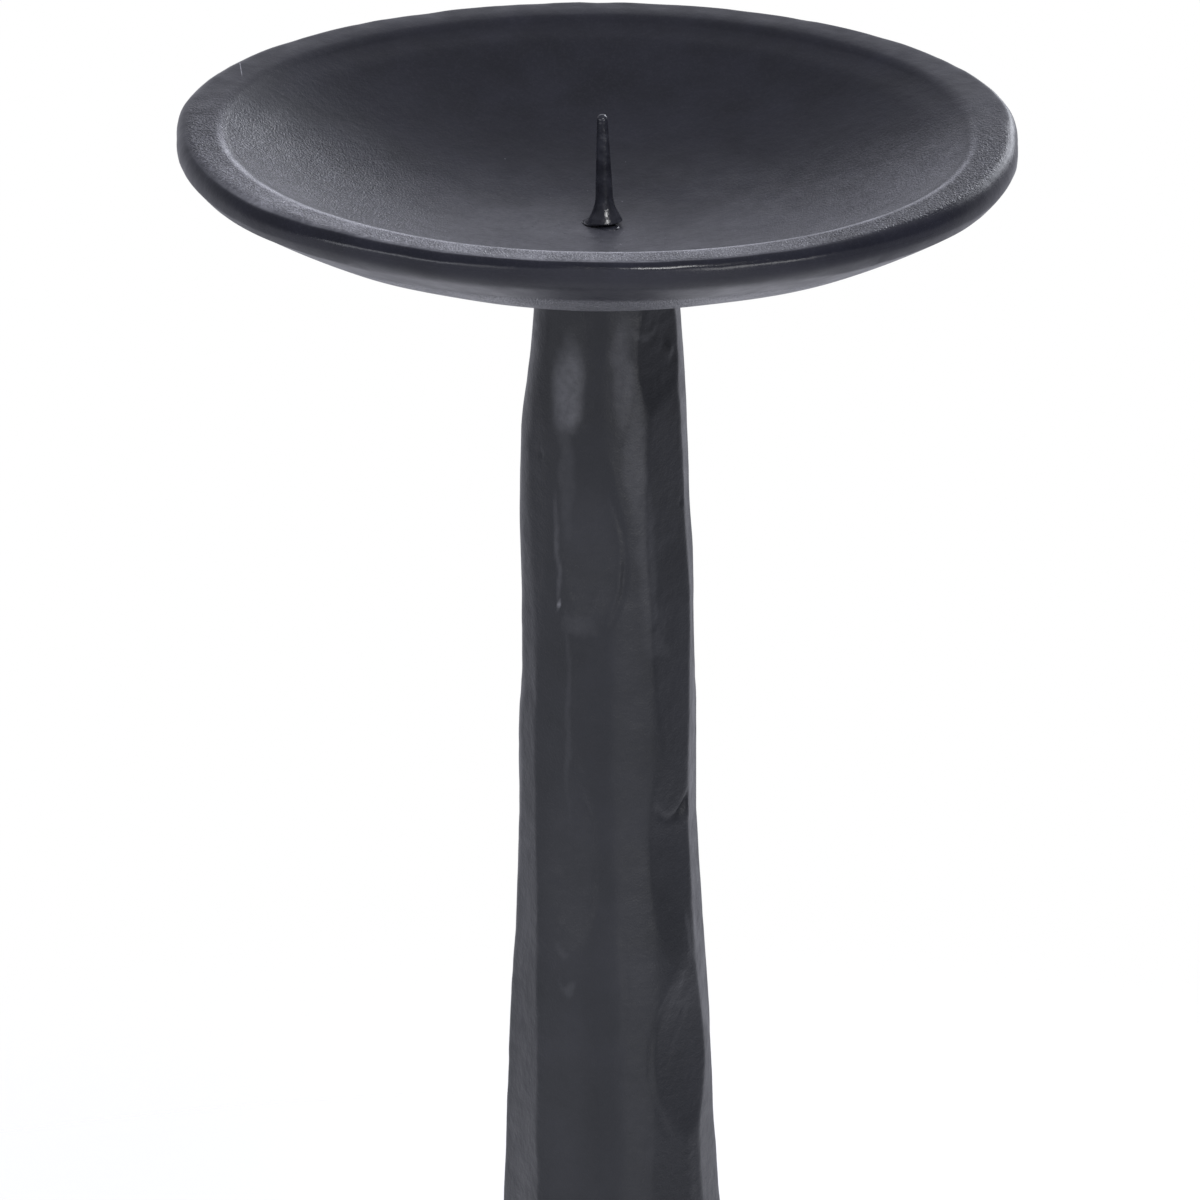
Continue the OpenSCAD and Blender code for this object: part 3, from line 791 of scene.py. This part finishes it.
def stem_radius(turn, share):
    """Radius of the hammered skin at each place."""
    known, widths = zip(*PROFILE_SHARES)
    blank = STEM_TOP_R + (STEM_FOOT_R - STEM_TOP_R) * np.interp(share, known, widths)
    total = np.ones(len(blank))
    for place_turn, place_share, cut, length in hammer_marks():
        swing = turn - place_turn
        swing = (swing - np.round(swing)) * TAU
        along = 2 * (share - place_share) * STEM_LENGTH / (MARK_LENGTH * length)
        depth = HAMMER_CUT * cut * (1 - along**2)
        near = (np.abs(swing) < math.pi / 4) & (depth > -1)
        flat = (blank - depth)[near] / np.cos(swing[near])
        total[near] += np.exp((blank[near] - flat) / ARRIS_SOFTNESS)
    return blank - ARRIS_SOFTNESS * np.log(total)


def local_places(turn, share, radius, place_turn, place_share):
    """How far across and along the skin each point lies from a place, in millimetres."""
    swing = turn - place_turn
    return (swing - np.round(swing)) * TAU * radius, (share - place_share) * STEM_LENGTH


def crease_cut(turn, share, radius):
    """How deep the creases cut the skin at each point, in millimetres."""
    total = np.zeros(len(turn))
    for place_turn, place_share, half_width, half_length, middle, spread, depth in CREASES:
        across, along = local_places(turn, share, radius, place_turn, place_share)
        reach = np.hypot(across / half_width, along / half_length) + 1e-6
        steepness = np.hypot(across / half_width**2, along / half_length**2) / reach + 1e-6
        off = (reach - 1) / steepness / CREASE_WIDTH
        bearing = np.arctan2(along / half_length, across / half_width) / TAU - middle
        bearing = np.abs(bearing - np.round(bearing))
        ends = 1 - smoothstep(0.6 * spread, spread, bearing)
        total = np.maximum(total, depth * np.exp(-(off**2)) * ends)
    return total


def paint_highlights(turn, share, radius, on_skin):
    """How much painted highlight, drawn as a lighter coat, lies at each point of the skin."""
    total = np.zeros(len(turn))
    ragged = 0.6 * lumps(on_skin, 3.2, 18) + 0.15 * lumps(on_skin, 1.0, 19)
    for place_turn, place_share, half_width, half_length, amount in PAINTED_HIGHLIGHTS:
        across, along = local_places(turn, share, radius, place_turn, place_share)
        across = across + ragged
        along = along + 3 * ragged
        reach = (across / half_width) ** 2 + (along / half_length) ** 2
        total = np.maximum(total, amount * (1 - smoothstep(0.0, 1.5, reach)))
    return total


def work_skin(outer):
    """Hammers and roughens the plain skin, and tells how much painted highlight lies on its coat.
    """
    turn = np.arctan2(outer[:, 0], -outer[:, 1]) / TAU
    share = (PAN_SEAT_Z - outer[:, 2]) / STEM_LENGTH
    warp = 0.003 * lumps(outer, 8, 11)
    lift = 0.004 * lumps(outer, 12, 12)
    r = stem_radius(turn + warp, share + lift)
    neck = NECK_CUT - NECK_SWAY * np.sin(TAU * turn)
    r -= neck * (1 - smoothstep(*NECK_SHARES, share + 0.004 * np.sin(TAU * turn)))
    for place_turn, place_share, size, height in DENTS:
        across, along = local_places(turn, share, r, place_turn, place_share)
        r += height * np.exp(-(across**2 + along**2) / size**2)
    on_skin = np.stack([r * np.sin(TAU * turn), -r * np.cos(TAU * turn), outer[:, 2]], 1)
    crumbs = np.clip(lumps(on_skin, 1.3, 15) + 0.5 * lumps(on_skin, 0.7, 16), 0, None)
    for place_turn, place_share, half_width, half_length, depth in CRUMBLY_SPOTS:
        across, along = local_places(turn, share, r, place_turn, place_share)
        r -= depth * crumbs * np.exp(-((across / half_width) ** 4) - (along / half_length) ** 4)
    r -= np.clip(0.10 * lumps(on_skin, 6, 13) + 0.05 * lumps(on_skin, 2.2, 14), 0, None)
    r -= crease_cut(turn + warp, share + lift, r) * (0.85 + 0.4 * lumps(on_skin, 2.5, 20))
    outer[:, 0] = r * np.sin(TAU * turn)
    outer[:, 1] = -r * np.cos(TAU * turn)
    # Painted highlights on the facets, as a lighter coat
    rub_and_painted_light = paint_highlights(turn + warp, share + lift, r, on_skin)
    return rub_and_painted_light * (0.95 + 0.15 * lumps(on_skin, 0.9, 17))


def build_stem():
    sides, rings = 232, 420
    outline = [(STEM_FOOT_R, STEM_FOOT_Z + STEM_LENGTH * i / rings) for i in range(rings + 1)]
    outline += [(PLUG_BORE_R, PAN_SEAT_Z), (PLUG_BORE_R, WEB_Z + WEB_T)]
    outline += [(ROD_BORE_R, WEB_Z + WEB_T), (ROD_BORE_R, WEB_Z)]
    outline += [(CORE_TOP_R, WEB_Z), (STEM_FOOT_R - STEM_WALL, STEM_FOOT_Z)]
    stem = turned("stem_column", outline, sides)
    co = coords(stem)
    skin = np.hypot(co[:, 0], co[:, 1]) > STEM_FOOT_R - 0.01
    outer = co[skin]
    rub_and_painted_light = np.zeros(len(co))
    rub_and_painted_light[skin] = work_skin(outer)
    co[skin] = outer
    share = (PAN_SEAT_Z - co[:, 2]) / STEM_LENGTH
    co[:, 0] += np.interp(share, *zip(*LEAN)) * skin
    set_coords(stem, co)
    paint_wear_and_light(stem, rub_and_painted_light)
    dress(stem, STEM_COATING, "iron_black", "stem")


# Foot

BASE_H = 19.0
BASE_WALL_LEAN = 1.4
RING_W = 14.0
HOLLOW_DEPTH = 12.0
BOSS_R = 11.0
BOSS_H = 1.2
STEM_SEAT_R = 23.6
REGISTER_R = 17.7
REGISTER_H = 3
BASE_GRIT = 0.28


def build_base():
    """A domed disc, hollow underneath, with a boss for the washers and a register in the stem."""
    top_r = BASE_R - BASE_WALL_LEAN
    dome_radius = cap_sphere_r(top_r, BASE_H - WALL_H)
    dome_centre_z = BASE_Z + BASE_H - dome_radius
    seat_z = dome_centre_z + math.sqrt(dome_radius**2 - STEM_SEAT_R**2)
    hollow_r = BASE_R - RING_W
    hollow_radius = cap_sphere_r(hollow_r, HOLLOW_DEPTH)
    hollow_centre_z = BASE_Z + HOLLOW_DEPTH - hollow_radius
    boss_z = BASE_Z + HOLLOW_DEPTH - BOSS_H
    outline = [(ROD_BORE_R, boss_z), (BOSS_R - 0.4, boss_z), (BOSS_R, boss_z + 0.4)]
    outline += bowl_arc(hollow_centre_z, hollow_radius, BOSS_R + 0.3, hollow_r - 0.5, 24, 1)
    outline += segment((hollow_r, BASE_Z), (BASE_R - EDGE_ROUND, BASE_Z), 8)
    outline += arc((BASE_R - EDGE_ROUND, BASE_Z + EDGE_ROUND), EDGE_ROUND, -90, 0, 8)
    outline += segment((BASE_R, BASE_Z + EDGE_ROUND + 0.3), (top_r, BASE_Z + WALL_H), 5)
    outline += bowl_arc(dome_centre_z, dome_radius, top_r, STEM_SEAT_R, 36, 1)
    outline += [(STEM_SEAT_R - 1, seat_z), (REGISTER_R, seat_z)]
    outline += [(REGISTER_R, seat_z + REGISTER_H), (ROD_BORE_R, seat_z + REGISTER_H)]
    base = turned("foot_casting", outline, FINE_SIDES)
    co = coords(base)
    radius = np.hypot(co[:, 0], co[:, 1])
    dome = smoothstep(26, 34, radius) * (co[:, 2] > BASE_Z + WALL_H)
    co[:, 2] -= dome * np.abs(0.15 * lumps(co, 18, 21) + 0.05 * lumps(co, 6, 22))
    set_coords(base, co)
    paint_wear_and_light(base, grit=BASE_GRIT)
    dress(base, COATING, "iron_black", "base")


# Fasteners and pads

ROD_R = high("tie_rod").x
THREAD_PITCH = 1.0
THREAD_DEPTH = 0.5
THREADED_LENGTH = 14.0
ROD_HOLE_R = ROD_R + 0.2
NUT_CHAMFER = math.radians(28)
WASHER_CUT_W = 1.0
PAD_R = 5.0
PAD_COUNT = 4


def bore_outline(foot, top, radius, top_bevel, foot_bevel):
    """A bevelled bore from its upper mouth down."""
    upper = [(radius + top_bevel, top), (radius, top - top_bevel)]
    return upper + [(radius, foot + foot_bevel), (radius + foot_bevel, foot)]


def crisp(piece, angle=35):
    """Keeps edges sharper than this many degrees as sharp edges."""
    piece.data.set_sharp_from_angle(angle=math.radians(angle))


def build_rod():
    """The tie rod, with a rolled thread at both ends."""
    foot, top = low("tie_rod").z, high("tie_rod").z
    steps = round(THREADED_LENGTH / THREAD_PITCH * 8)
    rings = [foot + THREADED_LENGTH * i / steps for i in range(steps + 1)]
    rings += [top - z + foot for z in reversed(rings)]
    outline = [(0, foot)] + [(ROD_R, z) for z in rings] + [(0, top)]
    rod = turned("tie_rod_threaded", outline, 48, closed=False)
    co = coords(rod)
    radius = np.hypot(co[:, 0], co[:, 1])
    turn = np.arctan2(co[:, 0], -co[:, 1]) / TAU
    phase = co[:, 2] / THREAD_PITCH - turn
    tooth = np.abs(2 * (phase - np.floor(phase)) - 1)
    from_end = np.minimum(co[:, 2] - foot, top - co[:, 2])
    runout = 1 - smoothstep(THREADED_LENGTH - 2, THREADED_LENGTH, from_end)
    cut = THREAD_DEPTH * np.clip(1.25 * tooth - 0.1, 0, 1) * runout
    cut = np.maximum(cut, 0.7 - from_end)
    co[:, :2] *= np.where(radius > 1, 1 - cut / ROD_R, 1)[:, None]
    set_coords(rod, co)
    dress(rod, ZINC, "zinc_steel", "tie_rod")


def build_nut():
    """A hexagon nut, chamfered at its corners and at both mouths of its bore."""
    foot, top = low("base_nut").z, high("base_nut").z
    half_flats, corner_r = high("base_nut").y, high("base_nut").x
    rings = [foot + (top - foot) * i / 24 for i in range(25)]
    outline = [(corner_r, z) for z in rings]
    outline += bore_outline(foot, top, ROD_HOLE_R, 0.4, 0.4)
    nut = turned("hexagon_nut", outline, 96)
    co = coords(nut)
    radius = np.hypot(co[:, 0], co[:, 1])
    turn = np.arctan2(co[:, 1], co[:, 0]) / TAU * 6
    from_flat = (turn - np.floor(turn) - 0.5) * TAU / 6
    from_end = np.minimum(co[:, 2] - foot, top - co[:, 2])
    chamfer = half_flats * 0.96 + from_end / math.tan(NUT_CHAMFER)
    wanted = np.minimum(half_flats / np.cos(from_flat), chamfer)
    scale = np.where(radius > corner_r - 0.01, wanted / radius, 1)
    co[:, :2] *= scale[:, None]
    set_coords(nut, co)
    crisp(nut)
    dress(nut, ZINC, "zinc_steel", "base_nut")


def build_washer():
    """A stamped washer, rounded on its lower edge."""
    foot, top, outer_r = low("base_washer").z, high("base_washer").z, high("base_washer").x
    outline = arc((outer_r - 0.5, foot + 0.5), 0.5, -90, 0, 5)
    outline += [(outer_r, top - 0.1), (outer_r - 0.1, top)]
    outline += bore_outline(foot, top, ROD_HOLE_R, 0.1, 0.3)
    washer = turned("flat_washer", outline, 96)
    co = coords(washer)
    co[:, 2] += 0.02 * np.clip(lumps(co, 3, 41), 0, 1) * (co[:, 2] < top - 0.2)
    set_coords(washer, co)
    crisp(washer)
    dress(washer, ZINC, "zinc_steel", "base_washer")


def build_spring_washer():
    """One turn of square wire, cut at a slant and sprung a little open."""
    foot, top, outer_r = low("lock_washer").z, high("lock_washer").z, high("lock_washer").y
    gap = WASHER_CUT_W / outer_r
    corners = [(ROD_HOLE_R, foot), (outer_r, foot), (outer_r, top), (ROD_HOLE_R, top)]
    bm = bmesh.new()
    section = bm.faces.new([bm.verts.new((r * MM, 0, z * MM)) for r, z in corners])
    bmesh.ops.bevel(
        bm, geom=section.verts[:], offset=0.15 * MM, segments=2, profile=0.5, affect="VERTICES",
        material=-1,
    )
    bmesh.ops.rotate(bm, verts=bm.verts, cent=(0, 0, 0), matrix=Matrix.Rotation(gap / 2, 3, "Z"))
    bmesh.ops.spin(
        bm, geom=bm.verts[:] + bm.edges[:] + bm.faces[:], cent=(0, 0, 0), axis=(0, 0, 1),
        angle=TAU - gap, steps=90,
    )
    bmesh.ops.remove_doubles(bm, verts=bm.verts, dist=0.0005 * MM)
    bmesh.ops.recalc_face_normals(bm, faces=bm.faces)
    washer = finished("spring_washer", bm)
    co = coords(washer)
    swing = np.arctan2(co[:, 1], co[:, 0])
    near_cut = np.exp(-((swing / 0.25) ** 2))
    slant = near_cut * 0.35 * (co[:, 2] - (foot + top) / 2) / outer_r
    cos, sin = np.cos(slant), np.sin(slant)
    co[:, 0], co[:, 1] = co[:, 0] * cos - co[:, 1] * sin, co[:, 0] * sin + co[:, 1] * cos
    set_coords(washer, co)
    crisp(washer, 60)
    dress(washer, ZINC, "zinc_steel", "lock_washer")


def build_pads():
    """Four felt discs, cut a little soft at their lower edge."""
    ring_r = SEATS["table_face"].xy.length
    top = high("foot_pads").z
    outline = [(0, 0)] + segment((1, 0), (PAD_R - 0.6, 0), 5)
    outline += arc((PAD_R - 0.5, 0.5), 0.5, -90, 0, 5)
    outline += [(PAD_R - 0.05, top - 0.3), (PAD_R - 0.1, top), (0, top)]
    pads = None
    for number in range(PAD_COUNT):
        pad = turned("felt_pads", outline, 64, closed=False)
        co = coords(pad)
        swing = (number + 0.5) * TAU / PAD_COUNT
        edge = smoothstep(PAD_R - 1.2, PAD_R, np.hypot(co[:, 0], co[:, 1]))
        co[:, :2] += (ring_r * math.cos(swing), ring_r * math.sin(swing))
        co[:, :2] -= 0.06 * (edge * np.clip(lumps(co, 0.8, 42), 0, 1))[:, None] * np.sign(co[:, :2])
        set_coords(pad, co)
        if pads:
            join_mesh(pads, pad)
        else:
            pads = pad
    dress(pads, FELT, "felt_black", "foot_pads")


build_pan()
build_spike()
build_stem()
build_base()
build_rod()
build_nut()
build_washer()
build_spring_washer()
build_pads()
frame["nodes"]["top_plug"].data.materials.clear()
frame["nodes"]["top_plug"].data.materials.append(ZINC)


# Floor, light and camera

# The floor lies this far under the pads. It is this wide and pale, and fades out between these
# distances from the middle
FLOOR_GAP = 0.05
FLOOR_R = 0.5
FLOOR_TONE = 0.86
FLOOR_FADES = (0.18, 0.42)
# How much light the world gives from below and from above, and the heights between which it rises
STUDIO_DIM = 0.35
CEILING_LIGHT = 1.2
LIGHT_RISES = (-0.1, 0.7)
STUDIO_TINT = (0.95, 0.96, 1.07)
# In gloss the world is white up to the first height and has dimmed to the ceiling at the second
CEILING_STARTS, CEILING_ENDS = 0.36, 0.66
CEILING_IN_GLOSS = 0.3
# How much higher gloss takes a direction for each share that it turns sideways
SIDEWAYS_SHARE = 0.6
# How gloss dims downwards: depth where it starts and ends, and what is left
DEEP_IN_GLOSS = (0.9, 1.15, 0.85)
# How gloss dims to the right and to the left: side, where it starts and ends, and what is left
SIDES_IN_GLOSS = [(1, 0.45, 0.85, 0.45), (-1, 0.1, 0.4, 0.75)]
# Soft boxes: place, aim, width, height, power and colour
SOFT_BOXES = {
    "back_box": ((0.66, 1.42, 0.62), (0, 0, 0.28), 0.45, 0.45, 4, (0.9, 0.93, 1)),
    "rim_box": ((0.35, -1.0, 1.2), (0, 0, 0.28), 0.3, 0.3, 6, (1, 1, 1)),
    "left_strip": ((-0.8, -1.39, 0.28), (0, 0, 0.2), 0.3, 0.6, 0.9, (1, 1, 1)),
    "left_window": ((-1.34, -0.87, 0.3), (0, 0, 0.28), 1.2, 0.3, 4.2, (0.93, 0.95, 1)),
    "right_strip": ((0.8, -1.39, 0.28), (0, 0, 0.2), 0.3, 0.6, 2.2, (1, 1, 1)),
    "right_window": ((1.13, -1.13, 0.3), (0, 0, 0.28), 0.6, 0.3, 2.9, (1, 1, 1)),
}


def build_floor():
    """A pale floor that fades into the white round it."""
    bm = bmesh.new()
    lowered = Matrix.Translation((0, 0, -FLOOR_GAP * MM))
    bmesh.ops.create_circle(bm, cap_ends=True, segments=96, radius=FLOOR_R, matrix=lowered)
    floor = finished("floor", bm, smooth=False)
    material, tree, shader = new_material("floor_paper")
    shader.inputs["Base Color"].default_value = (FLOOR_TONE, FLOOR_TONE, FLOOR_TONE, 1)
    shader.inputs["Roughness"].default_value = 0.9
    shader.inputs["Specular IOR Level"].default_value = 0.0
    clear = tree.nodes.new("ShaderNodeBsdfTransparent")
    distance = tree.nodes.new("ShaderNodeVectorMath")
    distance.operation = "LENGTH"
    tree.links.new(place(tree), distance.inputs[0])
    fade = ramp(tree, distance.outputs["Value"], *FLOOR_FADES, 0, 1)
    fade.node.interpolation_type = "SMOOTHSTEP"
    mix = tree.nodes.new("ShaderNodeMixShader")
    tree.links.new(fade, mix.inputs["Fac"])
    tree.links.new(shader.outputs["BSDF"], mix.inputs[1])
    tree.links.new(clear.outputs["BSDF"], mix.inputs[2])
    tree.links.new(mix.outputs["Shader"], tree.nodes["Material Output"].inputs["Surface"])
    floor.data.materials.append(material)


def build_world():
    """White for the camera, white up to a dimmer ceiling in gloss, and a soft light from above."""
    world = bpy.data.worlds.new("studio")
    bpy.context.scene.world = world
    world.use_nodes = True
    tree = world.node_tree
    direction = tree.nodes.new("ShaderNodeSeparateXYZ")
    tree.links.new(tree.nodes.new("ShaderNodeTexCoord").outputs["Generated"], direction.inputs[0])
    rays = tree.nodes.new("ShaderNodeLightPath").outputs
    in_gloss = maths(tree, "MAXIMUM", rays["Is Glossy Ray"], rays["Is Transmission Ray"])
    sideways = maths(tree, "ABSOLUTE", direction.outputs["X"], 0)
    sideways = maths(tree, "MULTIPLY", sideways, SIDEWAYS_SHARE)
    height = maths(tree, "ADD", direction.outputs["Z"], sideways)
    white = ramp(tree, height, CEILING_STARTS, CEILING_ENDS, 1, CEILING_IN_GLOSS)
    depth = maths(tree, "SUBTRACT", sideways, direction.outputs["Z"])
    start, end, level = DEEP_IN_GLOSS
    white = maths(tree, "MULTIPLY", white, ramp(tree, depth, start, end, 1, level))
    for toward, start, end, level in SIDES_IN_GLOSS:
        side = maths(tree, "MULTIPLY", direction.outputs["X"], toward)
        white = maths(tree, "MULTIPLY", white, ramp(tree, side, start, end, 1, level))
    lit = ramp(tree, direction.outputs["Z"], *LIGHT_RISES, STUDIO_DIM, CEILING_LIGHT)
    strength = mix_values(tree, in_gloss, lit, white)
    strength = mix_values(tree, rays["Is Camera Ray"], strength, 1.0)
    background = tree.nodes["Background"]
    tint = blend_colour(tree, rays["Is Camera Ray"], STUDIO_TINT, (1.0, 1.0, 1.0))
    tree.links.new(tint, background.inputs["Color"])
    tree.links.new(strength, background.inputs["Strength"])


def soft_box(name, place_at, aim, width, height, power, colour):
    data = bpy.data.lights.new(name, "AREA")
    data.shape = "RECTANGLE"
    data.size = width
    data.size_y = height
    data.energy = power
    data.color = colour
    lamp = bpy.data.objects.new(name, data)
    lamp.location = place_at
    lamp.rotation_euler = (Vector(aim) - Vector(place_at)).to_track_quat("-Z", "Y").to_euler()
    bpy.context.scene.collection.objects.link(lamp)


# The photograph's frame, and where the middle of the rim stands in it
PHOTO_PIXELS = 1200
CAMERA_DISTANCE = 1.6
PIXELS_PER_MM = 6.6317
CAMERA_ELEVATION = math.radians(18.32)
RIM_CENTRE_Y_PIXEL = 127.8
AXIS_X_PIXEL = 597.0
SENSOR = 36.0


def build_camera():
    focal_pixels = PIXELS_PER_MM / MM * CAMERA_DISTANCE
    data = bpy.data.cameras.new("camera")
    data.sensor_width = SENSOR
    data.lens = focal_pixels * SENSOR / PHOTO_PIXELS
    camera = bpy.data.objects.new("camera", data)
    dip = math.atan((PHOTO_PIXELS / 2 - RIM_CENTRE_Y_PIXEL) / focal_pixels)
    side = -(AXIS_X_PIXEL - PHOTO_PIXELS / 2) / PIXELS_PER_MM * MM
    rim_z = (PAN_RIM_Z - PAN_R * math.tan(RIM_TILT)) * MM
    camera.location = (
        side,
        -CAMERA_DISTANCE * math.cos(CAMERA_ELEVATION),
        rim_z + CAMERA_DISTANCE * math.sin(CAMERA_ELEVATION),
    )
    camera.rotation_euler = (math.pi / 2 - CAMERA_ELEVATION - dip, 0, 0)
    bpy.context.scene.collection.objects.link(camera)
    bpy.context.scene.camera = camera


build_floor()
build_world()
for name, box in SOFT_BOXES.items():
    soft_box(name, *box)
build_camera()
bpy.context.scene.view_settings.view_transform = "Standard"
